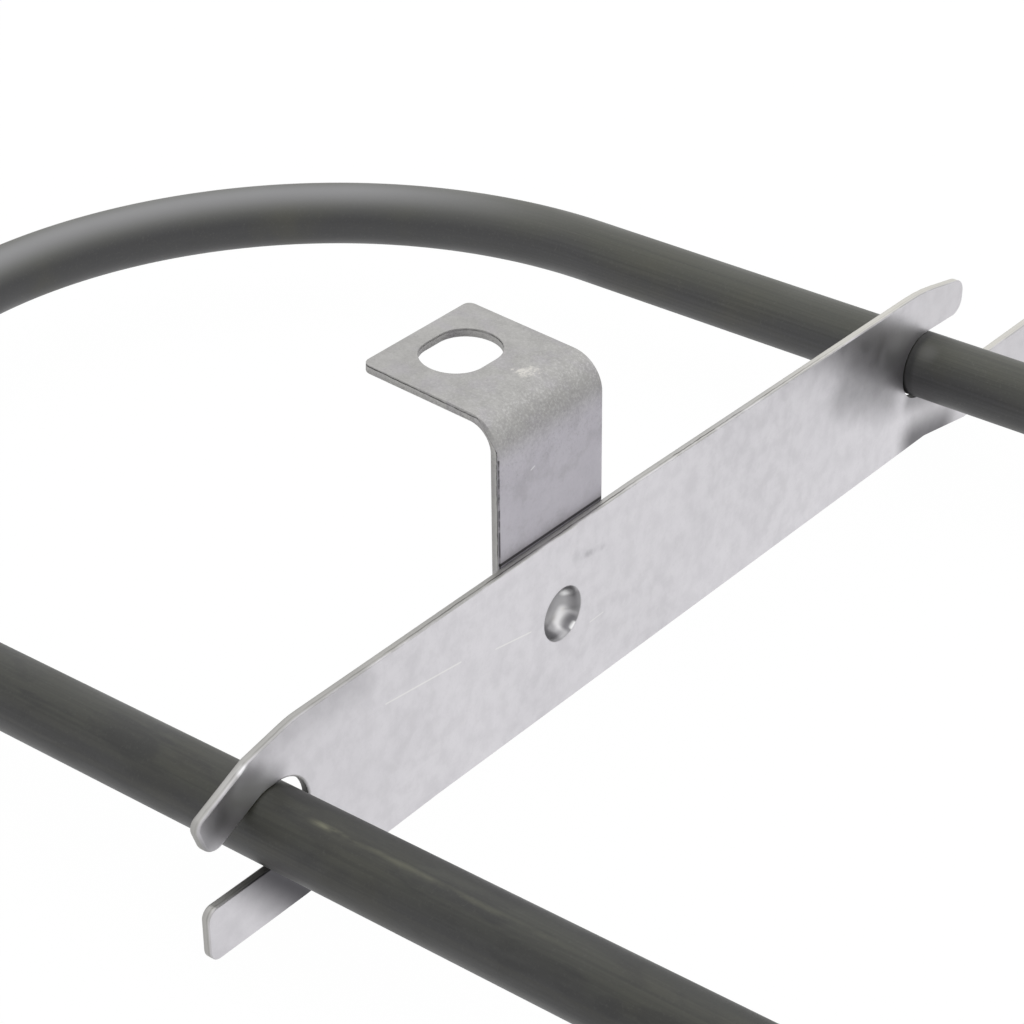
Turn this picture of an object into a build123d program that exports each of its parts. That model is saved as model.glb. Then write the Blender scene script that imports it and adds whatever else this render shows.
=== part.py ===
# Tubular heating element: a hairpin of metal-sheathed rod in a forked support strip
# that carries a fixing tab. Millimetres. The origin lies midway between the two
# bushings, on their sealing faces. +X runs along the legs towards the terminals,
# +Y from the near leg to the far leg, and +Z up, where the fixing tab stands.

import os
from math import cos, radians, sin, tan

from build123d import *

os.makedirs("parts", exist_ok=True)

# Bent sheath
tube_d = 8.5
tube_wall = 0.7
leg_pitch = 123.0
bend_radius = 58.4
leg_length = 202.8
sheath_overhang = 30.0

# Heating core: wound wire on the cold pins, packed in magnesia
coil_wire = 0.5
pin_d = 3.5
cold_length = 60.0
coil_grip = 12.0

# Sealed sheath ends
seal_depth = 6.0
bead_spigot = 3.0
bead_spigot_clearance = 0.05
bead_collar = 7.0
bead_collar_d = 9.4
bead_nose_d = 7.6
bead_bore_d = 4.3

# Terminal stud and its fittings
stud_d = 4.0
stud_overhang = 17.0
stud_chamfer = 0.5
stud_nut_flats = 7.0
stud_nut_height = 3.2
stud_washer_d = 9.0
stud_washer_thickness = 0.8

# Threaded bushing and its fittings
bushing_d = 14.0
bushing_length = 28.0
bushing_chamfer = 1.2
bushing_relief_width = 1.6
bushing_relief_depth = 1.0
flange_d = 20.0
flange_thickness = 3.5
flange_flats = 17.0
gasket_d = 21.0
gasket_thickness = 1.5
plate_washer_d = 22.0
plate_washer_thickness = 1.0
lock_nut_flats = 22.0
lock_nut_height = 5.0

# Clearances that every seated piece shares
braze_gap = 0.03
thread_gap = 0.03
washer_gap = 0.25
seat_gap = 0.03

# Support strip, cut from sheet; places at a fork are measured from its leg's centre
sheet = 1.2
strip_setback = 150.0
strip_top = 11.0
strip_top_fall = 0.5
strip_bottom = 11.5
strip_shift = 0.5
strip_bow_radius = 40.0
fork_gap_below = 1.3
fork_tip = 9.85
fork_corner = 1.3
near_gap_end = 1.4
near_end_corner = 4.4

# Near end, which hangs a little lower since its prong was pressed down
droop = 0.45
droop_start = 25.5
droop_end = 4.5

# Near upper prong, pressed down over the sheath
press_angle = 24.5
pressed_width = 5.2
pressed_reach_top = 7.6
pressed_reach_bottom = 8.0
pressed_heel_corner = 2.0
press_bend_radius = 3.0
near_taper = 11.5
near_taper_start = 4.0
near_taper_radius = 12.0

# Far upper prong, left as it was cut
far_taper = 12.0
far_taper_start = 0.6
far_taper_radius = 30.0
far_prong_tip = 9.2
far_prong_corner = 2.0
far_prong_heel = 0.2
far_heel_fall = 0.4
far_heel_start = 1.5

# Far end of the strip, whose slot keeps close to the sheath and opens out past it
far_gap_end = 0.2
far_gap_below = 0.35
far_end_corner = 4.3
far_floor_start = 3.0
far_floor_end = 15.0
far_floor_radius = 15.0

# Locating tongue past the far leg
tongue_tip = 34.5
tongue_flare = 9.5
tongue_flare_start = 1.9
tongue_flare_run = 10.0
tongue_corner = 2.0

# Fixing tab, folded from the same sheet
tab_width = 18.2
tab_y = -14.0
tab_foot = 8.0
tab_height = 29.8
tab_reach = 20.0
tab_rise = 4.0
tab_inner_radius = 3.0
tab_corner = 1.0
tab_hole_x = 13.75
tab_hole_y = -13.9
tab_hole_width = 7.8
tab_hole_length = 10.3

# Press-joined dimple that holds the tab to the strip
dimple_y = -13.5
dimple_z = 0.45
dimple_mouth_r = 3.35
dimple_throat_r = 2.75
dimple_floor_r = 2.5
dimple_lip = 0.5
dimple_depth = 2.1
dimple_floor = 0.5
dimple_neck_r = 3.25
dimple_flare_r = 3.45
boss_root_r = 4.4
boss_crown_r = 4.0

# Worked out from the sizes above
tube_r = tube_d / 2
bore_r = tube_r - tube_wall
pin_r = pin_d / 2
coil_r = pin_r + coil_wire
stud_r = stud_d / 2
bushing_r = bushing_d / 2
coil_end = -cold_length
pin_inner_end = coil_end - coil_grip
seal_outer_end = sheath_overhang - bead_spigot
fill_end = seal_outer_end - seal_depth
bead_end = sheath_overhang + bead_collar
legs = {"near": -leg_pitch / 2, "far": leg_pitch / 2}


def hairpin(end_x):
    """Centreline of the bent element, with both legs ending at end_x."""
    bend_x = -leg_length - bend_radius
    near, far = legs["near"], legs["far"]
    corners = [(end_x, near), (bend_x, near), (bend_x, far), (end_x, far)]
    with BuildLine() as route:
        FilletPolyline(*corners, radius=bend_radius)
    return route.wire()


def leg_section(end_x):
    """Plane across the near leg at end_x, facing back along the leg."""
    return Plane(origin=(end_x, legs["near"], 0), x_dir=(0, 1, 0), z_dir=(-1, 0, 0))


def leg_axis(y):
    """Centreline of the straight leg at y."""
    return Axis((0, y, 0), (1, 0, 0))


def leg_profile(y):
    """Plane through the leg at y for turned profiles: local x along the leg, local y up."""
    return Plane.XZ.offset(-y)


# Sheath: one seamless tube, bent once
with BuildPart() as sheath:
    with BuildSketch(leg_section(sheath_overhang)):
        Circle(tube_r)
        Circle(bore_r, mode=Mode.SUBTRACT)
    sweep(path=hairpin(sheath_overhang))
sheath.part.label = "sheath"
export_step(sheath.part, "parts/sheath.step")

# Resistance coil: the close-wound wire as a sleeve of its own section, along the whole heated length
with BuildPart() as resistance_coil:
    with BuildSketch(leg_section(coil_end)):
        Circle(coil_r)
        Circle(pin_r, mode=Mode.SUBTRACT)
    sweep(path=hairpin(coil_end))
resistance_coil.part.label = "resistance_coil"
export_step(resistance_coil.part, "parts/resistance_coil.step")

# Magnesia fill: the packed powder around the coil and the pins, and the core inside the coil
with BuildPart() as magnesia_fill:
    with BuildSketch(leg_section(fill_end)):
        Circle(bore_r)
    sweep(path=hairpin(fill_end))
    with BuildSketch(leg_section(coil_end)):
        Circle(coil_r)
    sweep(path=hairpin(coil_end), mode=Mode.SUBTRACT)
    with BuildSketch(Plane.YZ.offset(coil_end)):
        with Locations((legs["near"], 0), (legs["far"], 0)):
            Circle(pin_r)
    extrude(amount=fill_end - coil_end, mode=Mode.SUBTRACT)
    with BuildSketch(leg_section(pin_inner_end)):
        Circle(pin_r)
    sweep(path=hairpin(pin_inner_end))
magnesia_fill.part.label = "magnesia_fill"
export_step(magnesia_fill.part, "parts/magnesia_fill.step")


def ring(x, y, outer_r, inner_r, thickness):
    """Flat ring round a leg, from x outwards."""
    with BuildPart() as washer:
        with BuildSketch(Plane.YZ.offset(x)):
            with Locations((y, 0)):
                Circle(outer_r)
                Circle(inner_r, mode=Mode.SUBTRACT)
        extrude(amount=thickness)
    return washer


def hex_nut(x, y, flats, height, thread_r):
    """Hexagon nut round a leg, flats level, with its corners turned off at both faces."""
    corner_r = flats / 2 / cos(radians(30))
    turned = (corner_r - flats / 2) * tan(radians(30))
    with BuildPart() as nut:
        with BuildSketch(Plane.YZ.offset(x)):
            with Locations((y, 0)):
                RegularPolygon(flats / 2, 6, major_radius=False)
        extrude(amount=height)
        with BuildSketch(leg_profile(y)):
            with BuildLine():
                Polyline(
                    (x, 0),
                    (x, flats / 2),
                    (x + turned, corner_r),
                    (x + height - turned, corner_r),
                    (x + height, flats / 2),
                    (x + height, 0),
                    close=True,
                )
            make_face()
        revolve(axis=leg_axis(y), mode=Mode.INTERSECT)
        with BuildSketch(Plane.YZ.offset(x)):
            with Locations((y, 0)):
                Circle(thread_r + thread_gap)
        extrude(amount=height, mode=Mode.SUBTRACT)
    return nut


for side, y in legs.items():
    # Cold pin: smooth inside the element, with a rolled thread on its outer end
    stud_start = bead_end
    stud_end = bead_end + stud_overhang
    with BuildPart() as cold_pin:
        with BuildSketch(leg_profile(y)):
            with BuildLine():
                Polyline(
                    (pin_inner_end, 0),
                    (pin_inner_end, pin_r),
                    (stud_start, pin_r),
                    (stud_start, stud_r),
                    (stud_end - stud_chamfer, stud_r),
                    (stud_end, stud_r - stud_chamfer),
                    (stud_end, 0),
                    close=True,
                )
            make_face()
        revolve(axis=leg_axis(y))
    cold_pin.part.label = f"cold_pin_{side}"
    export_step(cold_pin.part, f"parts/cold_pin_{side}.step")

    # End seal: the compound that keeps moisture out of the powder
    end_seal = ring(fill_end, y, bore_r, pin_r, seal_depth)
    end_seal.part.label = f"end_seal_{side}"
    export_step(end_seal.part, f"parts/end_seal_{side}.step")

    # Insulating bead: pressed ceramic, with a spigot in the sheath and a tapered collar
    with BuildPart() as insulator:
        with BuildSketch(leg_profile(y)):
            with BuildLine():
                Polyline(
                    (seal_outer_end, bead_bore_d / 2),
                    (seal_outer_end, bore_r - bead_spigot_clearance),
                    (sheath_overhang, bore_r - bead_spigot_clearance),
                    (sheath_overhang, bead_collar_d / 2),
                    (sheath_overhang + bead_collar / 2, bead_collar_d / 2),
                    (bead_end, bead_nose_d / 2),
                    (bead_end, bead_bore_d / 2),
                    close=True,
                )
            make_face()
        revolve(axis=leg_axis(y))
    insulator.part.label = f"insulator_{side}"
    export_step(insulator.part, f"parts/insulator_{side}.step")

    # Bushing: turned with a flange that has two wrench flats, and brazed to the sheath
    bushing_bore = tube_r + braze_gap
    with BuildPart() as bushing:
        with BuildSketch(leg_profile(y)):
            with BuildLine():
                Polyline(
                    (-flange_thickness, bushing_bore),
                    (-flange_thickness, flange_d / 2),
                    (0, flange_d / 2),
                    (0, bushing_r - bushing_relief_depth),
                    (bushing_relief_width, bushing_r - bushing_relief_depth),
                    (bushing_relief_width, bushing_r),
                    (bushing_length - bushing_chamfer, bushing_r),
                    (bushing_length, bushing_r - bushing_chamfer),
                    (bushing_length, bushing_bore),
                    close=True,
                )
            make_face()
        revolve(axis=leg_axis(y))
        with BuildSketch(Plane.YZ.offset(-flange_thickness)):
            with Locations((y, 0)):
                Rectangle(flange_d, flange_d)
                Rectangle(flange_flats, flange_d, mode=Mode.SUBTRACT)
        extrude(amount=flange_thickness, mode=Mode.SUBTRACT)
    bushing.part.label = f"bushing_{side}"
    export_step(bushing.part, f"parts/bushing_{side}.step")

    # Sealing washer, plain washer and lock nut on the bushing
    washer_bore = bushing_r + washer_gap
    gasket = ring(0, y, gasket_d / 2, washer_bore, gasket_thickness)
    gasket.part.label = f"sealing_washer_{side}"
    export_step(gasket.part, f"parts/sealing_washer_{side}.step")

    plate_washer = ring(gasket_thickness, y, plate_washer_d / 2, washer_bore, plate_washer_thickness)
    plate_washer.part.label = f"bushing_washer_{side}"
    export_step(plate_washer.part, f"parts/bushing_washer_{side}.step")

    lock_nut_x = gasket_thickness + plate_washer_thickness
    lock_nut = hex_nut(lock_nut_x, y, lock_nut_flats, lock_nut_height, bushing_r)
    lock_nut.part.label = f"lock_nut_{side}"
    export_step(lock_nut.part, f"parts/lock_nut_{side}.step")

    # Terminal fittings: a nut against the bead, then a washer and a nut that clamp the lead
    base_nut = hex_nut(bead_end, y, stud_nut_flats, stud_nut_height, stud_r)
    base_nut.part.label = f"terminal_base_nut_{side}"
    export_step(base_nut.part, f"parts/terminal_base_nut_{side}.step")

    stud_washer_x = bead_end + stud_nut_height
    stud_washer = ring(stud_washer_x, y, stud_washer_d / 2, stud_r + washer_gap / 2, stud_washer_thickness)
    stud_washer.part.label = f"terminal_washer_{side}"
    export_step(stud_washer.part, f"parts/terminal_washer_{side}.step")

    clamp_nut_x = stud_washer_x + stud_washer_thickness
    clamp_nut = hex_nut(clamp_nut_x, y, stud_nut_flats, stud_nut_height, stud_r)
    clamp_nut.part.label = f"terminal_clamp_nut_{side}"
    export_step(clamp_nut.part, f"parts/terminal_clamp_nut_{side}.step")


# Places that the strip and the tab share, back from the strip's front face
strip_front = -strip_setback
strip_back = strip_front - sheet
tab_back = strip_back - sheet
dimple_axis = Axis((0, dimple_y, dimple_z), (1, 0, 0))
dimple_profile = Plane.XZ.offset(-dimple_y)
dimple_floor_x = strip_front - dimple_depth
cup_end_x = dimple_floor_x - dimple_floor
boss_end_x = cup_end_x - dimple_floor

# Fork places, in the strip's own face: y across the legs and z up
near_y, far_y = legs["near"], legs["far"]
slot_top = tube_r + seat_gap
slot_floor = -(tube_r + fork_gap_below)
far_floor = -(tube_r + far_gap_below)
near_slot_y = near_y + tube_r + near_gap_end
far_slot_y = far_y - tube_r - far_gap_end


def pressed(along, out):
    """Point of the pressed prong: along it from the near leg's centre, and out from that centre."""
    a = radians(press_angle)
    return (near_y - along * cos(a) - out * sin(a), out * cos(a) - along * sin(a))


def pressed_meets(level, out, slope=0.0):
    """Where the pressed prong's line meets a line that starts level at the taper and falls outwards."""
    a = radians(press_angle)
    level_at_leg = level - slope * near_taper_start
    along = (out * (cos(a) + slope * sin(a)) - level_at_leg) / (sin(a) - slope * cos(a))
    return pressed(along, out)


# Support strip: blanked from sheet, with a fork round each leg and a dimple through to the tab
near_slope = tan(radians(near_taper))
end_top = strip_top - strip_top_fall
end_bottom = -strip_bottom - droop
pressed_top = slot_top + pressed_width
far_tip_z = end_top - (far_prong_tip + far_taper_start) * tan(radians(far_taper))
flare_z = -strip_bottom - tongue_flare_run * tan(radians(tongue_flare))
strip_corners = [
    ((near_y + droop_start, -strip_bottom), strip_bow_radius),
    ((near_y + droop_end, end_bottom), strip_bow_radius),
    ((near_y - fork_tip, end_bottom), fork_corner),
    ((near_y - fork_tip, slot_floor), fork_corner),
    ((near_slot_y, slot_floor), near_end_corner),
    ((near_slot_y, slot_top), near_end_corner),
    (pressed_meets(slot_top, slot_top), slot_top),
    (pressed(pressed_reach_bottom, slot_top), pressed_heel_corner),
    (pressed(pressed_reach_top, pressed_top), fork_corner),
    (pressed_meets(end_top, pressed_top, near_slope), press_bend_radius),
    ((near_y + near_taper_start, end_top), near_taper_radius),
    ((strip_shift, strip_top), strip_bow_radius),
    ((far_y - far_taper_start, end_top), far_taper_radius),
    ((far_y + far_prong_tip, far_tip_z), far_prong_corner),
    ((far_y + far_prong_tip - far_prong_heel, slot_top - far_heel_fall), far_prong_corner),
    ((far_y + far_heel_start, slot_top), far_floor_radius),
    ((far_slot_y, slot_top), far_end_corner),
    ((far_slot_y, far_floor), far_end_corner),
    ((far_y + far_floor_start, far_floor), far_floor_radius),
    ((far_y + far_floor_end, slot_floor), far_floor_radius),
    ((far_y + tongue_tip, slot_floor), tongue_corner),
    ((far_y + tongue_tip, flare_z), tongue_corner),
    ((far_y + tongue_flare_start + tongue_flare_run, flare_z), tongue_corner),
    ((far_y + tongue_flare_start, -strip_bottom), tongue_corner),
]
with BuildPart() as support_strip:
    with BuildSketch(Plane.YZ.offset(strip_back)):
        with BuildLine():
            FilletPolyline(
                *[point for point, _ in strip_corners],
                radius=[radius for _, radius in strip_corners],
                close=True,
            )
        make_face()
    extrude(amount=sheet)
    with BuildSketch(dimple_profile):
        with BuildLine():
            Polyline(
                (strip_back, dimple_z),
                (strip_back, dimple_z + dimple_neck_r),
                (cup_end_x, dimple_z + dimple_flare_r),
                (cup_end_x, dimple_z),
                close=True,
            )
        make_face()
    revolve(axis=dimple_axis)
    with BuildSketch(dimple_profile):
        with BuildLine():
            Polyline(
                (strip_front, dimple_z),
                (strip_front, dimple_z + dimple_mouth_r),
                (strip_front - dimple_lip, dimple_z + dimple_throat_r),
                (dimple_floor_x, dimple_z + dimple_floor_r),
                (dimple_floor_x, dimple_z),
                close=True,
            )
        make_face()
    revolve(axis=dimple_axis, mode=Mode.SUBTRACT)
support_strip.part.label = "support_strip"
export_step(support_strip.part, "parts/support_strip.step")

# Fixing tab: folded a little short of square, with an oblong hole and the die side of the dimple
rise = radians(tab_rise)
tab_end = (strip_front - tab_reach, tab_height)
tab_fold = (strip_back, tab_height - (tab_reach - sheet) * tan(rise))
tab_top = Plane(
    origin=(strip_front - tab_hole_x, tab_hole_y, tab_height - (tab_reach - tab_hole_x) * tan(rise)),
    x_dir=(cos(rise), 0, -sin(rise)),
    z_dir=(sin(rise), 0, cos(rise)),
)
with BuildPart() as fixing_tab:
    with BuildSketch(Plane.XZ.offset(-tab_y)):
        with BuildLine() as outer_face:
            FilletPolyline((strip_back, -tab_foot), tab_fold, tab_end, radius=tab_inner_radius + sheet)
            offset(amount=sheet, side=Side.LEFT)
        make_face()
    extrude(amount=tab_width / 2, both=True)
    with BuildSketch(tab_top):
        SlotOverall(tab_hole_length, tab_hole_width, rotation=90)
    extrude(amount=-2 * sheet, mode=Mode.SUBTRACT)
    free_corners = fixing_tab.edges().filter_by(Axis(tab_top.origin, tab_top.z_dir)).group_by(Axis.X)[0]
    foot_corners = fixing_tab.edges().filter_by(Axis.X).group_by(Axis.Z)[0]
    fillet(free_corners + foot_corners, radius=tab_corner)
    with BuildSketch(dimple_profile):
        with BuildLine():
            Polyline(
                (tab_back, dimple_z),
                (tab_back, dimple_z + boss_root_r),
                (boss_end_x, dimple_z + boss_crown_r),
                (boss_end_x, dimple_z),
                close=True,
            )
        make_face()
    revolve(axis=dimple_axis)
    with BuildSketch(dimple_profile):
        with BuildLine():
            Polyline(
                (strip_back, dimple_z),
                (strip_back, dimple_z + dimple_neck_r),
                (cup_end_x, dimple_z + dimple_flare_r),
                (cup_end_x, dimple_z),
                close=True,
            )
        make_face()
    revolve(axis=dimple_axis, mode=Mode.SUBTRACT)
fixing_tab.part.label = "fixing_tab"
export_step(fixing_tab.part, "parts/fixing_tab.step")
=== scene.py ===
from math import atan2, cos, hypot, pi, radians, sin, tan

import bpy
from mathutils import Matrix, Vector


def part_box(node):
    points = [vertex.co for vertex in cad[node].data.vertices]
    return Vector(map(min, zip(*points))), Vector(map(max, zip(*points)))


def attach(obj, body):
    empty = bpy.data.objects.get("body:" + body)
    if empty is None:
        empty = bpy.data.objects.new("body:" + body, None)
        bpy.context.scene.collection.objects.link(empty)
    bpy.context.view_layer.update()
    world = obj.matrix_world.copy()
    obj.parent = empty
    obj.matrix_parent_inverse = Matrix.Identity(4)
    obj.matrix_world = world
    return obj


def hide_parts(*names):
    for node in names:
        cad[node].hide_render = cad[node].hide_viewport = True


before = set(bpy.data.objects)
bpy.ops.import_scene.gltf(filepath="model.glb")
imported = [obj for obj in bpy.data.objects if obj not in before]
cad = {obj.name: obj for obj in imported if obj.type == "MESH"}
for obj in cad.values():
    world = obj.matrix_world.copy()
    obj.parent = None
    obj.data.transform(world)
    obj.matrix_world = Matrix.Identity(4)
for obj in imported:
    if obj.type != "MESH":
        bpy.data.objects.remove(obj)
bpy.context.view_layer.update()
bpy.context.scene.view_settings.view_transform = "Standard"


# ---------------------------------------------------------------------------
# Sheath: one seamless steel heater tube, bent once round a former. Annealing has
# left a thin dark olive-grey oxide on it, with faint drawing lines along its length
# and one pale streak. Its top is painted lighter and its underside darker, as light
# and shade, with painted highlights, painted shade and a painted contact shadow on it.
# ---------------------------------------------------------------------------
near_y, far_y = -0.0615, 0.0615
sheath_r = 0.00425
sheath_wall = 0.0007
sheath_mouth_x = 0.030
bend_x = -0.2028
bend_r = 0.0584
sheath_sides = 96
bend_steps = 72


def deselect():
    """Leave edit mode and nothing selected."""
    if bpy.context.object and bpy.context.object.mode != "OBJECT":
        bpy.ops.object.mode_set(mode="OBJECT")
    bpy.ops.object.select_all(action="DESELECT")


def name_piece(piece, name):
    """Give a piece and its mesh one name."""
    piece.name = name
    piece.data.name = name
    return piece


def pick(piece):
    """Select one piece alone and make it the active one."""
    deselect()
    piece.select_set(True)
    bpy.context.view_layer.objects.active = piece


def settle(piece):
    """Apply a piece's place, turn and size to its mesh, so its object sits at the origin."""
    pick(piece)
    bpy.ops.object.transform_apply(location=True, rotation=True, scale=True)


def apply_modifiers(piece):
    """Apply every modifier on a piece, in order."""
    pick(piece)
    for modifier in list(piece.modifiers):
        bpy.ops.object.modifier_apply(modifier=modifier.name)


def smooth_faces(piece, angle=35):
    """Shade a piece smooth, creased where faces meet at more than the angle, its wide faces kept flat."""
    pick(piece)
    bpy.ops.object.shade_smooth_by_angle(angle=radians(angle))
    flat = piece.modifiers.new("flat", "WEIGHTED_NORMAL")
    flat.keep_sharp = True
    flat.weight = 100
    apply_modifiers(piece)


def srgb(*levels):
    """A colour as it reads in a picture, 0 to 255, made linear."""
    return tuple(
        c / 12.92 if c <= 0.04045 else ((c + 0.055) / 1.055) ** 2.4 for c in (v / 255 for v in levels)
    ) + (1.0,)


class Nodes:
    """The nodes of one material or world, made and linked by plain calls."""

    def __init__(self, tree):
        self.tree = tree

    def node(self, kind, inputs=(), **settings):
        """One node, with its settings, and its inputs by name or number: values or other nodes' sockets."""
        made = self.tree.nodes.new("ShaderNode" + kind)
        for key, value in settings.items():
            setattr(made, key, value)
        for key, value in dict(inputs).items():
            if isinstance(value, bpy.types.NodeSocket):
                self.tree.links.new(value, made.inputs[key])
            else:
                made.inputs[key].default_value = value
        return made

    def math(self, operation, a, b=0.5, clamp=False):
        """Two levels into one."""
        return self.node("Math", {0: a, 1: b}, operation=operation, use_clamp=clamp).outputs[0]

    def product(self, level, *others):
        """Levels multiplied together, as where several masks meet."""
        for other in others:
            level = self.math("MULTIPLY", level, other)
        return level

    def vector(self, operation, a, b=(0, 0, 0), out="Vector"):
        """Two places into one, or into a level."""
        inputs = {0: a, "Scale": b} if operation == "SCALE" else {0: a, 1: b}
        return self.node("VectorMath", inputs, operation=operation).outputs[out]

    def place(self):
        """Where a point lies on the piece, in metres."""
        return self.node("TexCoord").outputs["Object"]

    def coordinate(self, place, axis):
        """A place's X, Y or Z."""
        return self.node("SeparateXYZ", {0: place}).outputs[axis]

    def attribute(self, name, out="Fac"):
        """A number or a vector kept on the mesh."""
        return self.node("Attribute", attribute_name=name).outputs[out]

    def stretched(self, place, scale):
        """The same place with its own scale along each axis, in waves per metre."""
        return self.node("Mapping", {"Vector": place, "Scale": scale}).outputs[0]

    def noise(self, place, scale=1.0, detail=2.0, roughness=0.5, distortion=0.0):
        """Cloudy noise, its scale in waves per metre."""
        inputs = {"Vector": place, "Scale": scale, "Detail": detail, "Roughness": roughness, "Distortion": distortion}
        return self.node("TexNoise", inputs).outputs["Fac"]

    def ramp(self, level, stops):
        """A level turned into a colour through stops of (level, colour)."""
        made = self.node("ValToRGB", {"Fac": level})
        for element, (position, colour) in zip(made.color_ramp.elements, stops):
            element.position = position
            element.color = colour
        return made.outputs["Color"]

    def range(self, level, low, high, new_low=0.0, new_high=1.0):
        """A level stretched from one range to another, held at its ends, with soft shoulders."""
        inputs = {"Value": level, "From Min": low, "From Max": high, "To Min": new_low, "To Max": new_high}
        return self.node("MapRange", inputs, interpolation_type="SMOOTHSTEP").outputs[0]

    def mix(self, amount, a, b, blend="MIX"):
        """One colour over another by an amount."""
        inputs = {0: amount, 6: a, 7: b}
        return self.node("Mix", inputs, data_type="RGBA", blend_type=blend).outputs[2]


class Finish(Nodes):
    """A surface finish: one material, its shader, and the colour built up so far."""

    def __init__(self, name, **sockets):
        self.material = bpy.data.materials.new(name)
        self.material.use_nodes = True
        super().__init__(self.material.node_tree)
        self.shader = self.tree.nodes["Principled BSDF"]
        self.tone = None
        for socket, value in sockets.items():
            self.shader.inputs[socket.replace("_", " ")].default_value = value

    def tint(self, amount, colour, strength=1.0):
        """Lay a colour over the tone by an amount."""
        self.tone = self.mix(self.product(amount, strength), self.tone, colour)

    def relief(self, *layers):
        """Bumps, each a (height, depth in metres) pair, laid one on another."""
        normal = None
        for height, depth in layers:
            inputs = {"Height": height, "Distance": depth, "Strength": 1.0}
            if normal is not None:
                inputs["Normal"] = normal
            normal = self.node("Bump", inputs).outputs[0]
        self.tree.links.new(normal, self.shader.inputs["Normal"])

    def feed(self, **sockets):
        """Pattern sockets into the shader's own."""
        for socket, source in sockets.items():
            self.tree.links.new(source, self.shader.inputs[socket.replace("_", " ")])

    def cover(self, *pieces):
        """This finish alone on each of the pieces."""
        for piece in pieces:
            piece.data.materials.clear()
            piece.data.materials.append(self.material)


deselect()
bpy.ops.mesh.primitive_circle_add(
    vertices=sheath_sides, radius=sheath_r, location=(sheath_mouth_x, near_y, 0), rotation=(0, radians(90), 0)
)
sheath = name_piece(bpy.context.object, "sheath_tube")
settle(sheath)
bpy.ops.object.mode_set(mode="EDIT")
bpy.ops.mesh.select_all(action="SELECT")
leg_run = (sheath_mouth_x - bend_x) / 4
for _ in range(4):
    bpy.ops.mesh.extrude_region_move(TRANSFORM_OT_translate={"value": (-leg_run, 0, 0)})
bpy.ops.mesh.spin(
    steps=bend_steps, angle=radians(90), center=(bend_x, near_y + bend_r, 0), axis=(0, 0, 1)
)
bpy.ops.mesh.extrude_region_move(TRANSFORM_OT_translate={"value": (0, far_y - near_y - 2 * bend_r, 0)})
bpy.ops.mesh.spin(
    steps=bend_steps, angle=radians(90), center=(bend_x, far_y - bend_r, 0), axis=(0, 0, 1)
)
for _ in range(4):
    bpy.ops.mesh.extrude_region_move(TRANSFORM_OT_translate={"value": (leg_run, 0, 0)})
bpy.ops.mesh.select_all(action="SELECT")
bpy.ops.mesh.remove_doubles(threshold=1e-6)
bpy.ops.mesh.normals_make_consistent(inside=False)
bpy.ops.object.mode_set(mode="OBJECT")
wall = sheath.modifiers.new("wall", "SOLIDIFY")
wall.thickness = sheath_wall
wall.offset = -1
apply_modifiers(sheath)
smooth_faces(sheath)

# Each point's place on the tube as if it were straight again: along it, across it and up,
# so that the drawing lines follow the bend.
leg_length = sheath_mouth_x - bend_x
arc_length = bend_r * pi / 2
middle_run = far_y - near_y - 2 * bend_r


def unbent(point):
    """Distance along the tube from the near mouth, outwards from its middle line, and up."""
    x, y, z = point
    if x >= bend_x:
        out = near_y - y if y < 0 else y - far_y
        along = sheath_mouth_x - x
        return (along if y < 0 else 2 * leg_length + 2 * arc_length + middle_run - along, out, z)
    middle = min(max(y, -middle_run / 2), middle_run / 2)
    turned = atan2(bend_x - x, middle - y)
    out = hypot(x - bend_x, y - middle) - bend_r
    return (leg_length + bend_r * turned + middle + middle_run / 2, out, z)


along_tube = sheath.data.attributes.new("unbent", "FLOAT_VECTOR", "POINT")
for vertex, slot in zip(sheath.data.vertices, along_tube.data):
    slot.vector = unbent(vertex.co)

oxide = Finish("annealed_oxide", Metallic=0.0, Roughness=0.42, Specular_IOR_Level=0.5)
place = oxide.place()
straight = oxide.attribute("unbent", "Vector")
along, outwards, height = (oxide.coordinate(straight, axis) for axis in "XYZ")
drawing_lines = oxide.noise(oxide.stretched(straight, (28, 2600, 2600)), detail=3.0, roughness=0.6)
broad_lines = oxide.noise(oxide.stretched(straight, (9, 700, 700)), detail=2.0)
patches = oxide.noise(oxide.stretched(straight, (120, 380, 380)), detail=4.0, roughness=0.55, distortion=0.6)
clouds = oxide.noise(straight, scale=70.0, detail=3.0, roughness=0.55)
grain = oxide.noise(straight, scale=2600.0, detail=3.0, roughness=0.7)
drift = oxide.product(oxide.math("SUBTRACT", clouds, 0.5), 0.0035)
on_near = oxide.range(along, 0.2600, 0.2250)
on_legs = oxide.math("MAXIMUM", on_near, oxide.range(along, 0.3950, 0.4300))
# Painted light and shade: the top is painted a lighter olive and the underside a darker grey.
painted_light_top = oxide.range(oxide.math("ADD", height, drift), 0.0004, 0.0038)
oxide.tone = oxide.mix(painted_light_top, srgb(66, 66, 67), srgb(74, 75, 67))
oxide.tint(oxide.product(oxide.range(patches, 0.44, 0.64), on_near), srgb(47, 47, 47), 0.72)
oxide.tint(oxide.range(clouds, 0.48, 0.70), srgb(84, 83, 72), 0.45)
oxide.tint(oxide.product(oxide.range(drawing_lines, 0.35, 0.70), on_legs), srgb(44, 44, 43), 0.40)
oxide.tint(oxide.range(grain, 0.52, 0.80), srgb(104, 104, 98), 0.30)
oxide.tint(oxide.product(oxide.range(broad_lines, 0.52, 0.74), on_legs), srgb(90, 89, 80), 0.30)
oxide.tint(on_near, oxide.mix(1.0, oxide.tone, (0.62, 0.62, 0.62, 1.0), blend="MULTIPLY"))
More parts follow.
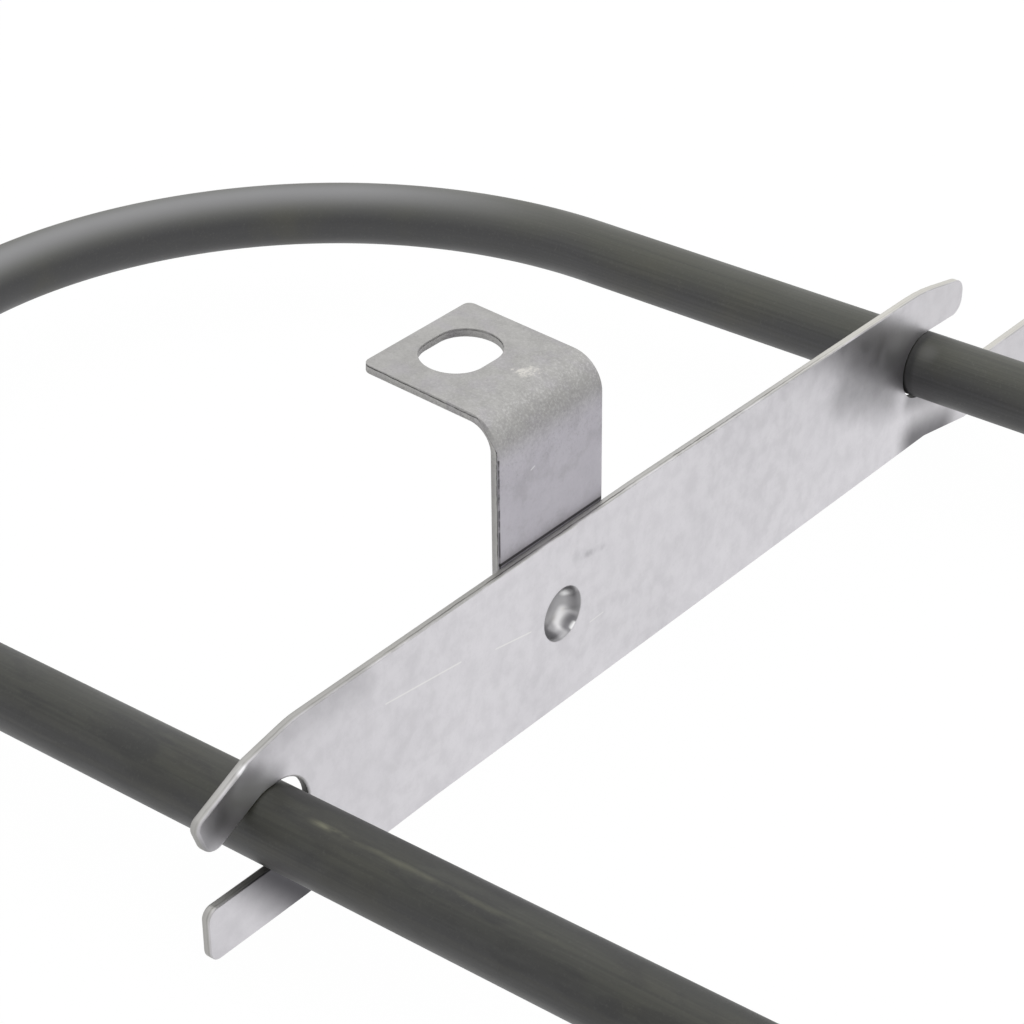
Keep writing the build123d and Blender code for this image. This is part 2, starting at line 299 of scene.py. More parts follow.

# A broad pale band along the inner shoulder of the bend is a painted highlight.
bend_highlight = oxide.range(oxide.math("ABSOLUTE", oxide.math("ADD", outwards, 0.0014)), 0.0034, 0.0)
bent = oxide.product(oxide.range(along, 0.2500, 0.3300), oxide.range(along, 0.4250, 0.3820))
oxide.tint(oxide.product(bend_highlight, oxide.range(height, 0.0006, 0.0036), bent), srgb(140, 140, 141))

# The near leg's front run has painted shade on its inner flank, and one pale streak near its top.
front_run = oxide.range(along, 0.186, 0.170)
shaded_flank = oxide.range(outwards, 0.0006, -0.0012)
oxide.tint(oxide.product(front_run, shaded_flank), srgb(40, 41, 39), 0.60)
wobble = oxide.product(oxide.math("SUBTRACT", oxide.noise(straight, scale=200.0), 0.5), 0.0005)
aside = oxide.math("ABSOLUTE", oxide.math("SUBTRACT", oxide.math("ADD", outwards, wobble), 0.0012))
fading = oxide.math(
    "ADD", oxide.range(along, 0.1350, 0.1600, 0.0, 0.35), oxide.range(along, 0.1660, 0.1700, 0.0, 0.65)
)
broken = oxide.range(oxide.noise(oxide.stretched(straight, (300, 900, 900)), detail=3.0), 0.30, 0.64)
pale_streak = oxide.product(
    oxide.range(aside, 0.00050, 0.0), oxide.range(height, 0.0, 0.002), oxide.range(along, 0.1745, 0.1715), fading,
)
oxide.tint(oxide.product(pale_streak, broken), srgb(140, 140, 116), 0.62)

# The far leg has a painted contact shadow in a ring against the strip, and a soft painted highlight just before it.
far_side = oxide.range(oxide.coordinate(place, "Y"), 0.05, 0.055)
from_strip = oxide.math("ABSOLUTE", oxide.math("ADD", oxide.coordinate(place, "X"), 0.14985))
oxide.tint(oxide.product(oxide.range(from_strip, 0.0013, 0.0005), far_side), srgb(34, 34, 34), 0.75)
highlight_turn = radians(52)
highlight_place = (-0.1478, far_y - sheath_r * cos(highlight_turn), sheath_r * sin(highlight_turn))
from_highlight = oxide.vector("LENGTH", oxide.vector("SUBTRACT", place, highlight_place), out="Value")
oxide.tint(oxide.range(from_highlight, 0.0020, 0.0002), srgb(108, 108, 105), 0.55)
oxide.feed(Base_Color=oxide.tone, Roughness=oxide.range(clouds, 0.3, 0.7, 0.40, 0.50))
oxide.relief((grain, 0.000010), (drawing_lines, 0.000006))
oxide.cover(sheath, cad["sheath"])
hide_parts("sheath")
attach(sheath, "root")


# ---------------------------------------------------------------------------
# Heating core: magnesia powder rammed round the wound wire and the cold pins, then
# closed at both mouths with a soft sealing compound. All of it is hidden.
# ---------------------------------------------------------------------------
def grained(name, dark, light, scale, roughness, depth, detail=4.0, dark_end=0.3, **sockets):
    """A finish of fine grain between two colours, its scale in waves per metre and its depth in metres."""
    finish = Finish(name, **sockets)
    grain = finish.noise(finish.place(), scale=scale, detail=detail, roughness=roughness)
    finish.feed(Base_Color=finish.ramp(grain, [(dark_end, srgb(*dark)), (0.7, srgb(*light))]))
    finish.relief((grain, depth))
    return finish


powder = grained("magnesia_powder", (226, 225, 218), (244, 243, 238), 3500.0, 0.7, 0.00004, Roughness=0.95)
powder.cover(cad["magnesia_fill"])

wire = Finish("wound_resistance_wire", Metallic=1.0, Roughness=0.35)
turns = wire.node("TexWave", {"Vector": wire.place(), "Scale": 320.0, "Distortion": 0.3}, bands_direction="X")
turns = turns.outputs["Fac"]
wire.feed(Base_Color=wire.ramp(turns, [(0.2, srgb(92, 90, 84)), (0.8, srgb(178, 175, 166))]))
wire.relief((turns, 0.00012))
wire.cover(cad["resistance_coil"])

compound = grained(
    "sealing_compound", (206, 200, 188), (226, 221, 210), 1800.0, 0.5, 0.00003, detail=3.0, dark_end=0.35,
    Roughness=0.6,
)
compound.cover(cad["end_seal_near"], cad["end_seal_far"])


# ---------------------------------------------------------------------------
# Support strip: blanked from pale plated steel sheet, with a fork round each leg; the near
# prong is pressed down, its edges rounded further. One press-joined dimple goes through it.
# ---------------------------------------------------------------------------
sheet = 0.0012
strip_front = -0.150
strip_back = strip_front - sheet
dimple_y, dimple_z = -0.0135, 0.00045
rolled_edge = 0.00030
sharp_edge = 0.00014
pressed_edge = 0.00036
far_slot_edge = 0.00003
round_sides = 128


def blank(node, name, without=None):
    """A copy of a plain CAD piece, its triangles merged into clean faces, without a detail if one is named."""
    piece = bpy.data.objects.new(name, cad[node].data.copy())
    bpy.context.scene.collection.objects.link(piece)
    name_piece(piece, name)
    pick(piece)
    bpy.ops.object.mode_set(mode="EDIT")
    bpy.ops.mesh.select_mode(type="FACE")
    bpy.ops.mesh.select_all(action="SELECT")
    bpy.ops.mesh.remove_doubles(threshold=2e-6)
    if without:
        bpy.ops.mesh.select_all(action="DESELECT")
        bpy.ops.object.mode_set(mode="OBJECT")
        points = piece.data.vertices
        for polygon in piece.data.polygons:
            polygon.select = all(without(points[i].co) for i in polygon.vertices)
        bpy.ops.object.mode_set(mode="EDIT")
        bpy.ops.mesh.delete(type="FACE")
        bpy.ops.mesh.select_all(action="SELECT")
        bpy.ops.mesh.fill_holes(sides=0)
    bpy.ops.mesh.select_all(action="SELECT")
    bpy.ops.mesh.dissolve_limited(angle_limit=radians(1.0))
    bpy.ops.object.mode_set(mode="OBJECT")
    return piece


def turned(name, y, z, profile, sides):
    """A solid turned round the line along X through y and z, from (x, radius) places."""
    deselect()
    (x, r), *rest = profile
    bpy.ops.mesh.primitive_circle_add(
        vertices=sides, radius=r, fill_type="NGON", location=(x, y, z), rotation=(0, radians(90), 0)
    )
    piece = name_piece(bpy.context.object, name)
    settle(piece)
    bpy.ops.object.mode_set(mode="EDIT")
    bpy.ops.mesh.select_all(action="SELECT")
    for next_x, next_r in rest:
        bpy.ops.mesh.extrude_region_move(TRANSFORM_OT_translate={"value": (next_x - x, 0, 0)})
        bpy.ops.transform.resize(value=(1, next_r / r, next_r / r), center_override=(next_x, y, z))
        x, r = next_x, next_r
    bpy.ops.mesh.select_all(action="SELECT")
    bpy.ops.mesh.normals_make_consistent(inside=False)
    bpy.ops.object.mode_set(mode="OBJECT")
    return piece


def combine(piece, other, operation="DIFFERENCE"):
    """Cut another solid out of a piece, or add it to the piece, and put the other away."""
    tool = piece.modifiers.new("combine", "BOOLEAN")
    tool.operation = operation
    tool.solver = "EXACT"
    tool.object = other
    apply_modifiers(piece)
    bpy.data.objects.remove(other)


def ease_edges(piece, width_at, widest, segments=4):
    """Round each sharp edge of a piece by the smaller of the widths given for its two ends."""
    pick(piece)
    bpy.ops.object.mode_set(mode="EDIT")
    bpy.ops.mesh.select_mode(type="EDGE")
    bpy.ops.mesh.select_all(action="DESELECT")
    bpy.ops.mesh.edges_select_sharp(sharpness=radians(40))
    bpy.ops.object.mode_set(mode="OBJECT")
    share = piece.data.attributes.new("bevel_weight_edge", "FLOAT", "EDGE")
    points = piece.data.vertices
    for edge, weight in zip(piece.data.edges, share.data):
        if edge.select:
            weight.value = min(width_at(points[i].co) for i in edge.vertices) / widest
    rounding = piece.modifiers.new("rounding", "BEVEL")
    rounding.limit_method = "WEIGHT"
    rounding.width = widest
    rounding.segments = segments
    rounding.use_clamp_overlap = False
    apply_modifiers(piece)


def from_dimple(point):
    """Distance of a point from the dimple's axis."""
    return hypot(point[1] - dimple_y, point[2] - dimple_z)


def at_dimple(point):
    """Whether a point belongs to the dimple as the CAD has it."""
    return from_dimple(point) < 0.0046


def strip_rounding(point):
    """How wide the strip's edge is rounded at a point: less in the far slot, more on the pressed prong."""
    in_far_slot = 0.056 < point.y < 0.0662 and -0.006 < point.z < 0.005
    if abs(point.x - strip_back) < 1e-5:
        return far_slot_edge if in_far_slot else rolled_edge
    pressed = point.z > -0.0006 and (point.y < -0.0652 or (point.y < -0.0555 and point.z < 0.0047))
    return far_slot_edge if in_far_slot else pressed_edge if pressed else sharp_edge


def split_straights(piece, straights, cuts):
    """Split the long straight edges that lie within the (low y, high y, low z, high z) places given."""
    pick(piece)
    bpy.ops.object.mode_set(mode="EDIT")
    bpy.ops.mesh.select_mode(type="EDGE")
    bpy.ops.mesh.select_all(action="DESELECT")
    bpy.ops.object.mode_set(mode="OBJECT")
    points = piece.data.vertices
    for edge in piece.data.edges:
        a, b = (points[i].co for i in edge.vertices)
        held = [all(y0 < p.y < y1 and z0 < p.z < z1 for p in (a, b)) for y0, y1, z0, z1 in straights]
        edge.select = any(held) and abs(a.x - b.x) < 1e-6 and (a - b).length > 0.0009
    bpy.ops.object.mode_set(mode="EDIT")
    bpy.ops.mesh.subdivide(number_cuts=cuts)
    bpy.ops.object.mode_set(mode="OBJECT")


def from_front(*places):
    """Places of a turned profile, given in millimetres behind the strip's face and from the axis."""
    return [(strip_front - back / 1000, r / 1000) for back, r in places]


def strip_depth(point):
    """How far a point lies behind the strip's face, as a share of the sheet, or 0 in the bowl."""
    back, out = strip_front - point.x, from_dimple(point)
    in_bowl = (out < 0.0040 and back < 0.0003) or (out < 0.0031 and back < 0.0022)
    return 0.0 if in_bowl else back / sheet


def keep_depth(piece, depth_at):
    """Keep on each point of a piece how far it lies through the sheet, up to 1 at the back."""
    kept = piece.data.attributes.new("depth", "FLOAT", "POINT")
    for vertex, slot in zip(piece.data.vertices, kept.data):
        slot.value = min(1.0, depth_at(vertex.co))


strip = blank("support_strip", "strip_sheet", at_dimple)
straights = [
    (-0.0714, -0.0646, 0.0059, 0.0090), (-0.0560, -0.0557, -0.0013, 0.0),
    (0.0631, 0.0686, 0.0039, 0.0044), (0.0646, 0.0764, -0.0056, -0.0045),
]
split_straights(strip, straights, 5)
ease_edges(strip, strip_rounding, pressed_edge)
cup = from_front((0.6, 3.2), (1.2, 3.25), (2.6, 3.45))
combine(strip, turned("cup", dimple_y, dimple_z, cup, round_sides), "UNION")
bowl = from_front(
    (-0.20, 3.75), (0.0, 3.45), (0.05, 3.36), (0.13, 3.27), (0.25, 3.17), (0.42, 3.07), (0.65, 2.96), (0.9, 2.83),
    (1.15, 2.67), (1.4, 2.45), (1.6, 2.20), (1.78, 1.90), (1.92, 1.56), (2.02, 1.17), (2.08, 0.75), (2.10, 0.3),
)
combine(strip, turned("punch", dimple_y, dimple_z, bowl, round_sides))
smooth_faces(strip)
keep_depth(strip, strip_depth)


def shade(colour, factor):
    """A colour made lighter or darker by a factor."""
    return tuple(min(1.0, c * factor) for c in colour[:3]) + (1.0,)


class Sheet(Finish):
    """Pale plated steel: a cloudy face with fine rolling lines, and sheared edges with one ragged dark line."""

    def __init__(self, name, face, wall, dark, line_at, rough):
        super().__init__(name, Metallic=1.0)
        self.at = self.place()
        self.mottle = self.noise(self.at, scale=420.0, detail=4.0, roughness=0.6)
        self.rolling = self.noise(self.stretched(self.at, (2400, 60, 2400)), detail=3.0, roughness=0.65)
        clouds = self.noise(self.at, scale=60.0, detail=3.0)
        speckle = self.noise(self.at, scale=2600.0, detail=2.0, roughness=0.6)
        self.tone = face
        self.tint(self.range(self.mottle, 0.38, 0.66), shade(face, 0.86), 0.50)
        self.tint(self.range(clouds, 0.38, 0.66), shade(face, 1.06), 0.32)
        self.tint(self.range(speckle, 0.50, 0.75), shade(face, 0.84), 0.22)
        self.tint(self.range(self.rolling, 0.50, 0.80), shade(face, 1.10), 0.18)
        depth = self.attribute("depth")
        ragged = self.noise(self.at, scale=900.0, detail=3.0)
        wander = self.math("ADD", depth, self.product(self.math("SUBTRACT", ragged, 0.5), 0.20))
        from_line = self.math("ABSOLUTE", self.math("SUBTRACT", wander, line_at))
        torn = self.mix(self.range(wander, 0.25, 0.80), wall, shade(wall, 0.84))
        broken = self.range(self.noise(self.at, scale=230.0, detail=3.0), 0.34, 0.56, 0.35, 1.0)
        self.wall = self.product(self.range(depth, 0.10, 0.22), self.range(depth, 0.99, 0.90))
        self.rim = self.product(self.range(depth, 0.0, 0.03), self.range(depth, 0.20, 0.12))
        self.edge = self.math("MAXIMUM", self.wall, self.rim)
        self.tint(self.product(self.rim, broken), shade(wall, 0.88))
        self.tint(self.wall, torn)
        self.tint(self.product(self.range(from_line, 0.11, 0.03), broken), dark)
        self.rough = self.range(self.mottle, 0.3, 0.7, rough, rough + 0.07)
        self.rough = self.math("ADD", self.rough, self.product(self.edge, 0.12))

    def stroke(self, start, end, width, edge=0.0, at=None):
        """How much a point lies on a straight stroke between two places on the piece."""
        a, run = Vector(start), Vector(end) - Vector(start)
        rel = self.vector("SUBTRACT", at or self.at, a)
        along = self.vector("DOT_PRODUCT", rel, run, out="Value")
        nearest = self.vector("SCALE", run, self.math("MULTIPLY", along, 1 / run.length_squared, clamp=True))
        away = self.vector("LENGTH", self.vector("SUBTRACT", rel, nearest), out="Value")
        return self.range(away, width / 2, edge)


face = Sheet("plated_strip", srgb(217, 215, 219), srgb(184, 183, 180), srgb(104, 102, 99), 0.34, 0.34)


def on_face(start, end, width):
    """How much a point lies on a stroke between two (y, z) places on the strip's face."""
    return face.stroke((strip_front, *start), (strip_front, *end), width)


# Three fine scratches, and a small smudge above the dimple with a fleck beside it.
for start, end, width, strength in [
    ((-0.04366, 0.00479), (-0.03138, 0.00351), 0.00034, 0.80),
    ((-0.02542, 0.00203), (-0.01929, 0.00104), 0.00032, 0.80),
    ((-0.00853, -0.00321), (-0.00609, -0.00312), 0.00028, 0.70),
]:
    face.tint(on_face(start, end, width), srgb(236, 235, 234), strength)
haze = face.range(face.noise(face.at, scale=650.0, detail=2.0), 0.30, 0.70, 0.25, 1.0)
for start, end, width, strength in [
    ((-0.0110, 0.0068), (-0.0098, 0.0065), 0.0026, 0.20), ((-0.0092, 0.0062), (-0.0086, 0.0060), 0.0014, 0.40),
    ((-0.0088, 0.0061), (-0.0062, 0.0057), 0.0015, 0.26), ((-0.0064, 0.0057), (-0.0057, 0.0056), 0.0011, 0.30),
    ((-0.0044, -0.0023), (-0.0038, -0.0026), 0.0010, 0.16),
]:
    face.tint(face.product(on_face(start, end, width), haze), srgb(140, 139, 144), strength)

# The face is painted a little darker towards both legs as shade, with painted reflections and painted shade of the
# tubes as soft dark patches round the forks.
crossing = face.coordinate(face.at, "Y")
drifts = face.noise(face.at, scale=170.0, detail=4.0, roughness=0.6)
face.tint(face.range(drifts, 0.42, 0.66), srgb(193, 191, 196), 0.15)
face.tint(face.range(crossing, -0.030, -0.060), srgb(190, 188, 192), 0.25)
face.tint(face.range(crossing, 0.055, 0.063), srgb(190, 188, 190), 0.35)
for start, end, width, strength in [
    ((-0.0650, -0.0030), (-0.0570, -0.0118), 0.0112, 0.96), ((-0.0632, 0.0066), (-0.0606, 0.0054), 0.0052, 0.32),
    ((-0.0620, 0.0105), (-0.0480, 0.0100), 0.0090, 0.20), ((0.0470, 0.0075), (0.0520, 0.0035), 0.0150, 0.26),
    ((0.0430, 0.0035), (0.0540, -0.0018), 0.0100, 0.42), ((0.0590, -0.0044), (0.0650, -0.0060), 0.0050, 0.50),
    ((0.0605, -0.0108), (0.0675, -0.0122), 0.0098, 0.80),
]:
    face.tint(on_face(start, end, width), srgb(66, 65, 69), strength)
# Painted highlights on the pressed prong and beside the far slot, and painted shade on the pressed prong's face.
for start, end, width, level, strength in [
    ((-0.0660, 0.0058), (-0.0630, 0.0048), 0.0060, 252, 0.85),
    ((0.0530, 0.0040), (0.0552, 0.0052), 0.0080, 246, 0.35),
    ((-0.0718, 0.0024), (-0.0690, 0.0044), 0.0070, 104, 0.50),
    ((-0.0655, 0.0086), (-0.0651, 0.0088), 0.0016, 252, 0.80),
]:
    face.tint(on_face(start, end, width), srgb(level, level, level + 2), strength)

# Sheared edges: paler towards the far leg, darker towards the near one; painted shade inside the near slot, a painted
# shadow of the near leg on the lower prong's edge, and a painted contact shadow at the far slot's foot.
face.tint(face.product(face.wall, face.range(crossing, 0.020, 0.050)), srgb(208, 206, 199), 0.75)
face.tint(face.product(face.wall, face.range(crossing, -0.020, -0.050)), srgb(164, 163, 158), 0.45)
slot_end_shade = face.stroke((strip_front, -0.0562, 0.0020), (strip_back, -0.0556, 0.0010), 0.0070, 0.0020)
prong_edge_shadow = face.stroke((strip_front, near_y + 0.0006, -0.0055), (strip_back, near_y + 0.0040, -0.0055), 0.0056, 0.0014)
slot_foot_shadow = face.stroke((strip_front, 0.0570, -0.0020), (strip_back, 0.0620, -0.0048), 0.0060, 0.0020)
face.tint(face.product(face.math("MAXIMUM", slot_end_shade, prong_edge_shadow), face.wall), srgb(44, 42, 41), 0.85)
face.tint(face.product(slot_foot_shadow, face.edge), srgb(30, 30, 30), 0.95)

# The punch burnished the dimple's bowl, so it is smoother, and its tone is painted darker as shade; painted shade and
# painted highlights lie in it as darker and brighter patches.
middle = face.vector("SUBTRACT", face.at, (strip_front, dimple_y, dimple_z))
flat = face.vector("MULTIPLY", middle, (0, 1, 1))
sunk = face.range(face.coordinate(middle, "X"), -0.00002, -0.00012)
bowl_mouth = face.range(face.vector("LENGTH", flat, out="Value"), 0.0037, 0.0034)
burnished_and_shaded = face.product(bowl_mouth, sunk)
face.tint(burnished_and_shaded, srgb(166, 165, 167))
for start, end, width, colour, strength in [
    ((0.0029, 0.0012), (0.0030, -0.0006), 0.0016, (84, 83, 85), 0.45),
    ((-0.0006, -0.0030), (-0.0022, -0.0022), 0.0018, (84, 83, 85), 0.40),
    ((0.0019, -0.0011), (0.0008, -0.0022), 0.0018, (234, 233, 234), 0.85),
    ((0.0020, 0.0014), (0.0022, 0.0012), 0.0014, (250, 250, 250), 0.95),
    ((0.00125, -0.00268), (0.00242, -0.00185), 0.0013, (108, 107, 110), 0.90),
    ((0.00170, -0.00284), (0.00228, -0.00240), 0.0006, (252, 252, 252), 0.90),
]:
    inside = face.stroke((0, *start), (0, *end), width, at=flat)
    face.tint(face.product(inside, burnished_and_shaded), srgb(*colour), strength)
face.rough = face.math("SUBTRACT", face.rough, face.product(burnished_and_shaded, 0.06))
face.feed(Base_Color=face.tone, Roughness=face.rough)
face.relief((face.rolling, 0.0000015), (face.mottle, 0.000004))
face.cover(strip, cad["support_strip"])
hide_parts("support_strip")
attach(strip, "root")


# ---------------------------------------------------------------------------
# Fixing tab: the same sheet, folded once a little short of square, with an oblong screw hole
# in its flange. It is duller and grainier than the strip, with one pale scuff.
# ---------------------------------------------------------------------------
tab_outer = strip_back
tab_flange_z = 0.0298
tab_flange_end = strip_front - 0.0200
tab_rise = radians(4.0)
tab_fold_r = 0.0042
tab_outer_edge = 0.00011
tab_inner_edge = 0.00024
tab_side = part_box("fixing_tab")[0][1]
tab = blank("fixing_tab", "tab_sheet", at_dimple)
corner_z = tab_flange_z - (tab_outer - tab_flange_end) * tan(tab_rise)
fold_x = tab_outer - tab_fold_r
fold_z = corner_z - tab_fold_r * tan((pi / 2 - tab_rise) / 2)


def tab_depth(point):
    """How far a point lies below the tab's outer face, as a share of the sheet."""
    x, z = point[0], point[2]
    if z < fold_z:
        return (tab_outer - x) / sheet
    if atan2(z - fold_z, x - fold_x) > pi / 2 - tab_rise:
        return ((tab_flange_z - z) * cos(tab_rise) + (tab_flange_end - x) * sin(tab_rise)) / sheet
    return (tab_fold_r - hypot(x - fold_x, z - fold_z)) / sheet


def tab_rounding(point):
    """How wide the tab's edge is rounded at a point."""
    return tab_inner_edge if tab_depth(point) > 0.5 else tab_outer_edge


ease_edges(tab, tab_rounding, tab_inner_edge, 3)
boss = from_front(
    (1.8, 4.60), (2.4, 4.62), (2.43, 4.50), (2.5, 4.38), (2.62, 4.28), (2.82, 4.19), (2.96, 4.09), (3.05, 3.93),
    (3.10, 3.70),
)
combine(tab, turned("boss", dimple_y, dimple_z, boss, round_sides), "UNION")
pocket = from_front((1.0, 3.24), (1.2, 3.25), (2.6, 3.45))
combine(tab, turned("pocket", dimple_y, dimple_z, pocket, round_sides))
smooth_faces(tab)
keep_depth(tab, lambda point: 0.0 if from_dimple(point) < 0.0036 else tab_depth(point))

dull = Sheet("plated_tab", srgb(166, 165, 163), srgb(190, 189, 187), srgb(84, 83, 82), 0.20, 0.46)
up = dull.coordinate(dull.at, "Z")
# Painted light: the leg is painted paler than the flange, as if more lit.
lit_leg = dull.product(dull.range(up, 0.0270, 0.0225), dull.math("SUBTRACT", 1.0, dull.wall))
dull.tint(lit_leg, srgb(191, 188, 196), 0.9)
veils = dull.noise(dull.at, scale=300.0, detail=4.0, roughness=0.65)
dull.tint(dull.range(veils, 0.46, 0.66), srgb(164, 161, 166), 0.40)
on_fold = dull.product(dull.range(up, 0.0205, 0.0250), dull.range(up, 0.0298, 0.0276))
grit = dull.noise(dull.at, scale=3000.0, detail=3.0, roughness=0.8)
dark_grit = dull.product(dull.range(grit, 0.52, 0.70), dull.range(up, 0.0180, 0.0225, 0.30, 1.0))
dull.tint(dark_grit, srgb(142, 141, 142), 0.38)
pale_grit = dull.product(dull.range(grit, 0.50, 0.38), dull.math("ADD", on_fold, 0.35))
dull.tint(pale_grit, srgb(204, 203, 203), 0.28)

# One pale scuff beside the hole, broken up by the grain, and one nick on the leg.
scuff = dull.stroke((-0.1562, -0.0130, 0.0289), (-0.1554, -0.0120, 0.0289), 0.0036)
flecks = dull.noise(dull.stretched(dull.at, (2200, 1300, 1300)), detail=4.0, roughness=0.75)
uneven = dull.math("ADD", scuff, dull.product(dull.math("SUBTRACT", flecks, 0.5), 4.2))
scuffed = dull.product(dull.range(uneven, 0.25, 1.20), dull.range(scuff, 0.0, 0.30))
dull.tint(scuffed, srgb(220, 217, 210), 0.55)
dull.tint(dull.stroke((strip_back, -0.0176, 0.0205), (strip_back, -0.0170, 0.0207), 0.00032), srgb(226, 226, 228), 0.8)

# A painted contact shadow where the leg goes down behind the strip, and a dark line along the leg's sheared corner.
contact_shadow = dull.stroke((strip_back, -0.0231, 0.01108), (strip_back, -0.0049, 0.01114), 0.00050, 0.00012)
dull.tint(contact_shadow, srgb(44, 43, 44), 0.85)
ragged = dull.range(dull.noise(dull.at, scale=1100.0, detail=3.0), 0.36, 0.52, 0.45, 1.0)
corner = dull.stroke((strip_back, tab_side, 0.0100), (strip_back, tab_side, 0.0240), 0.00044, 0.00006)
dull.tint(dull.product(corner, ragged), srgb(46, 45, 46), 0.80)
dull.feed(Base_Color=dull.tone, Roughness=dull.rough)
dull.relief((grit, 0.000012), (dull.rolling, 0.000002), (dull.mottle, 0.000010))
dull.cover(tab, cad["fixing_tab"])
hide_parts("fixing_tab")
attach(tab, "root")


# ---------------------------------------------------------------------------
# Bushings: turned brass, brazed on the sheath, each with a fine thread cut from the relief
# behind its flange to its end. Their flanges and lock nuts have slightly eased edges.
# ---------------------------------------------------------------------------
thread_slope = 2 / 3


def thread_cutter(name, y, start, turns, root, crest, pitch, steps):
    """A coil with a three-sided section, point inwards, that leaves a screw thread along X."""
    reach = (crest - root) * thread_slope
    deselect()
    bpy.ops.mesh.primitive_circle_add(
        vertices=3, radius=reach, location=(start, root + reach, 0), rotation=(0, 0, pi)
    )
    piece = name_piece(bpy.context.object, name)
    settle(piece)
    coil = piece.modifiers.new("coil", "SCREW")
    coil.axis = "X"
    coil.angle = 2 * pi
    coil.screw_offset = pitch
    coil.iterations = turns
    coil.steps = steps
    coil.render_steps = steps
    apply_modifiers(piece)
    bpy.ops.object.mode_set(mode="EDIT")
    bpy.ops.mesh.select_all(action="SELECT")
    bpy.ops.mesh.fill_holes(sides=3)
    bpy.ops.mesh.select_all(action="SELECT")
    bpy.ops.mesh.normals_make_consistent(inside=False)
    bpy.ops.transform.translate(value=(0, y, 0))
    bpy.ops.object.mode_set(mode="OBJECT")
    return piece


def eased(node, width, segments=2):
    """A copy of a CAD piece with its sharp edges eased by a width."""
    piece = blank(node, f"{node}_part")
    rounding = piece.modifiers.new("rounding", "BEVEL")
    rounding.limit_method = "ANGLE"
    rounding.angle_limit = radians(32)
    rounding.width = width
    rounding.segments = segments
    rounding.use_clamp_overlap = True
    apply_modifiers(piece)
    return piece


def hand_over(piece, node, finish):
    """Put a finished piece in the CAD piece's place."""
    smooth_faces(piece, 30)
    finish.cover(piece, cad[node])
    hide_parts(node)
    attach(piece, "root")


def ease(node, width, finish, segments=2):
    """Put a copy with eased edges in a CAD piece's place."""
    hand_over(eased(node, width, segments), node, finish)


brass = Finish("turned_brass", Metallic=1.0, Roughness=0.28)
turning = brass.noise(brass.stretched(brass.place(), (5200, 60, 60)), detail=3.0, roughness=0.6)
tarnish = brass.noise(brass.place(), scale=260.0, detail=4.0, roughness=0.6)
tone = brass.mix(brass.range(tarnish, 0.40, 0.70, 0.0, 0.6), srgb(214, 186, 118), srgb(178, 146, 84))
brass.feed(Base_Color=tone, Roughness=brass.range(tarnish, 0.3, 0.7, 0.24, 0.36))
brass.relief((turning, 0.000004))
m14_thread = {"start": 0.0008, "turns": 19, "root": 0.00608, "crest": 0.00725, "pitch": 0.0015, "steps": 48}
sides = {"near": near_y, "far": far_y}
for side, y in sides.items():
    bushing = eased(f"bushing_{side}", 0.00012, 1)
    combine(bushing, thread_cutter("thread", y, **m14_thread))
    hand_over(bushing, f"bushing_{side}", brass)
    ease(f"lock_nut_{side}", 0.00012, brass)


# ---------------------------------------------------------------------------
# Gaskets and washers: a soft fibre ring under each flange and a zinc plated steel washer
# under each lock nut, their rims eased.
# ---------------------------------------------------------------------------
fibre = grained("gasket_fibre", (58, 58, 60), (86, 86, 88), 2200.0, 0.7, 0.00003, Roughness=0.85)
zinc = grained(
    "zinc_plate", (176, 177, 180), (206, 207, 210), 600.0, 0.6, 0.00001, Metallic=1.0, Roughness=0.3,
)
for side in sides:
    ease(f"sealing_washer_{side}", 0.00020, fibre)
    ease(f"bushing_washer_{side}", 0.00014, zinc)


# ---------------------------------------------------------------------------
# Beads: pressed ceramic, off-white and a little rough, with soft edges. Each one stands on
# a sheath's mouth and holds its pin clear of the metal.
# ---------------------------------------------------------------------------
ceramic = grained("pressed_ceramic", (222, 217, 204), (238, 234, 224), 1400.0, 0.65, 0.00002, Roughness=0.55)
for side in sides:
    ease(f"insulator_{side}", 0.00022, ceramic, 3)


# ---------------------------------------------------------------------------
# Cold pins and terminal nuts: nickel plated steel. Each pin ends in a stud with a coarse
# machine thread, which carries a nut, a washer and a second nut.
# ---------------------------------------------------------------------------
nickel = grained(
    "nickel_plate", (184, 180, 170), (214, 210, 200), 900.0, 0.6, 0.000006, Metallic=1.0, Roughness=0.25,
)
m4_thread = {"start": 0.0370, "turns": 25, "root": 0.00157, "crest": 0.00212, "pitch": 0.0007, "steps": 40}
for side, y in sides.items():
    pin = blank(f"cold_pin_{side}", f"cold_pin_{side}_part")
    combine(pin, thread_cutter("thread", y, **m4_thread))
    hand_over(pin, f"cold_pin_{side}", nickel)
    for part, width in (("terminal_base_nut", 0.00008), ("terminal_washer", 0.00010), ("terminal_clamp_nut", 0.00008)):
        ease(f"{part}_{side}", width, nickel)


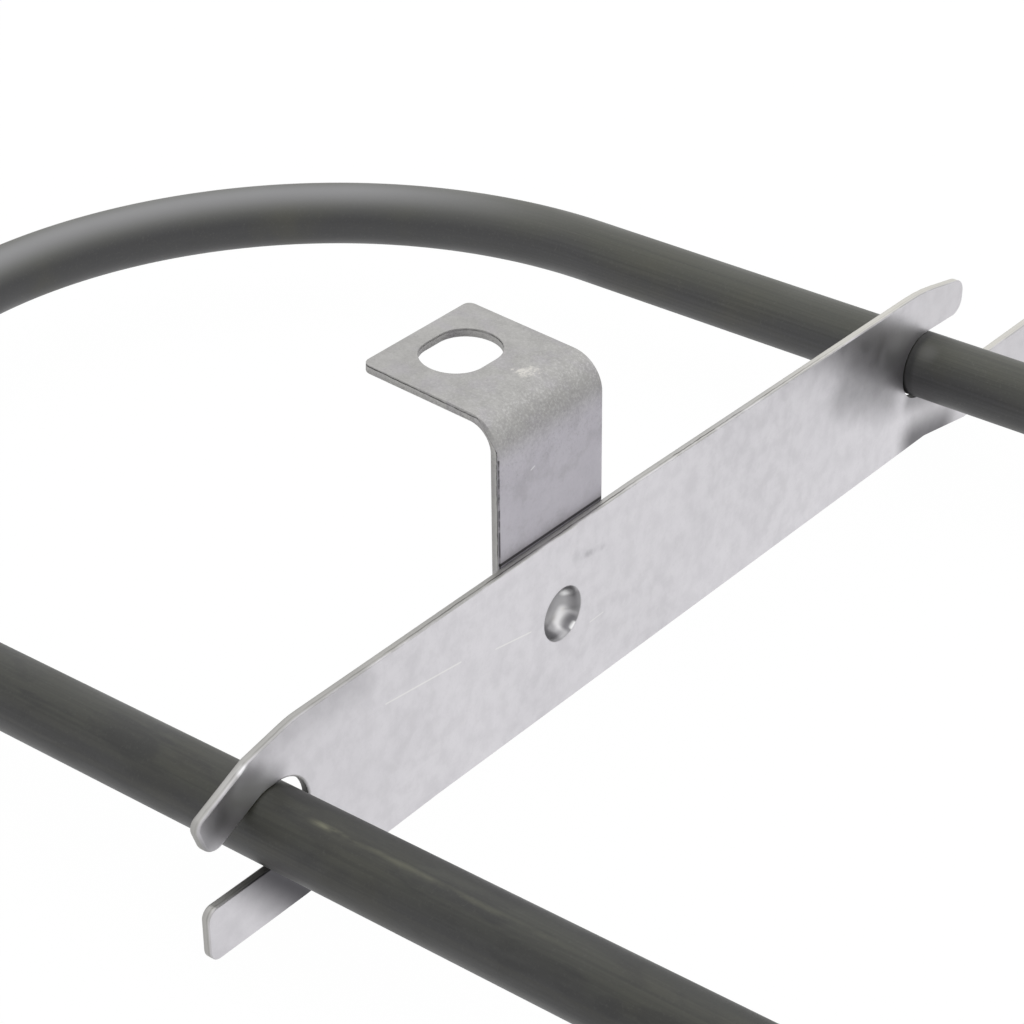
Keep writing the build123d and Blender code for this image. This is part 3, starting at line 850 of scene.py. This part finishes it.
# ---------------------------------------------------------------------------
# Floor, lights and camera: a plain pale floor and sky that the camera and the metal see as
# white, one broad soft light above, and the camera where the photograph was taken from.
# ---------------------------------------------------------------------------
floor_size = 8
floor_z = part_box("support_strip")[0][2]
sky_light = 0.72
white_share = 0.97
white_level = 1.012
deselect()
bpy.ops.mesh.primitive_plane_add(size=floor_size, location=(-0.15, 0, floor_z))
floor = name_piece(bpy.context.object, "floor")
settle(floor)
pale = Finish("pale_floor", Base_Color=(0.8, 0.8, 0.8, 1.0), Roughness=0.9)


def seen_direct(nodes):
    """1 for what the camera sees itself or in metal, 0 for light that falls on a surface."""
    path = nodes.node("LightPath").outputs
    seen = nodes.math("MAXIMUM", path["Is Camera Ray"], path["Is Glossy Ray"])
    return nodes.math("MAXIMUM", seen, path["Is Transmission Ray"])


white = pale.node("Emission", {"Color": (1, 1, 1, 1), "Strength": white_level}).outputs[0]
share = pale.product(seen_direct(pale), white_share)
blend = pale.node("MixShader", {0: share, 1: pale.shader.outputs[0], 2: white}).outputs[0]
pale.tree.links.new(blend, pale.tree.nodes["Material Output"].inputs["Surface"])
pale.cover(floor)

world = bpy.data.worlds.new("studio")
bpy.context.scene.world = world
world.use_nodes = True
studio = Nodes(world.node_tree)
sky = studio.tree.nodes["Background"]
sky.inputs["Color"].default_value = (1, 1, 1, 1)
sky.inputs["Strength"].default_value = sky_light
backdrop = studio.node("Background", {"Color": (1, 1, 1, 1), "Strength": 1.0}).outputs[0]
blend = studio.node("MixShader", {0: seen_direct(studio), 1: sky.outputs[0], 2: backdrop}).outputs[0]
studio.tree.links.new(blend, studio.tree.nodes["World Output"].inputs["Surface"])

data = bpy.data.lights.new("soft_top", "AREA")
data.shape = "SQUARE"
data.size = 1.4
data.energy = 2.6
lamp = bpy.data.objects.new("soft_top", data)
bpy.context.scene.collection.objects.link(lamp)
lamp.location = (-0.18, 0.20, 0.80)
lamp.rotation_euler = (Vector((-0.16, 0.0, 0.0)) - lamp.location).to_track_quat("-Z", "Y").to_euler()

data = bpy.data.cameras.new("camera")
data.sensor_width = 36.0
data.lens = 107.569
data.clip_start = 0.01
data.clip_end = 20.0
camera = bpy.data.objects.new("camera", data)
bpy.context.scene.collection.objects.link(camera)
camera.location = (0.02441, -0.23969, 0.18656)
camera.rotation_euler = (radians(58.8209), radians(0.4507), radians(38.4837))
bpy.context.scene.camera = camera
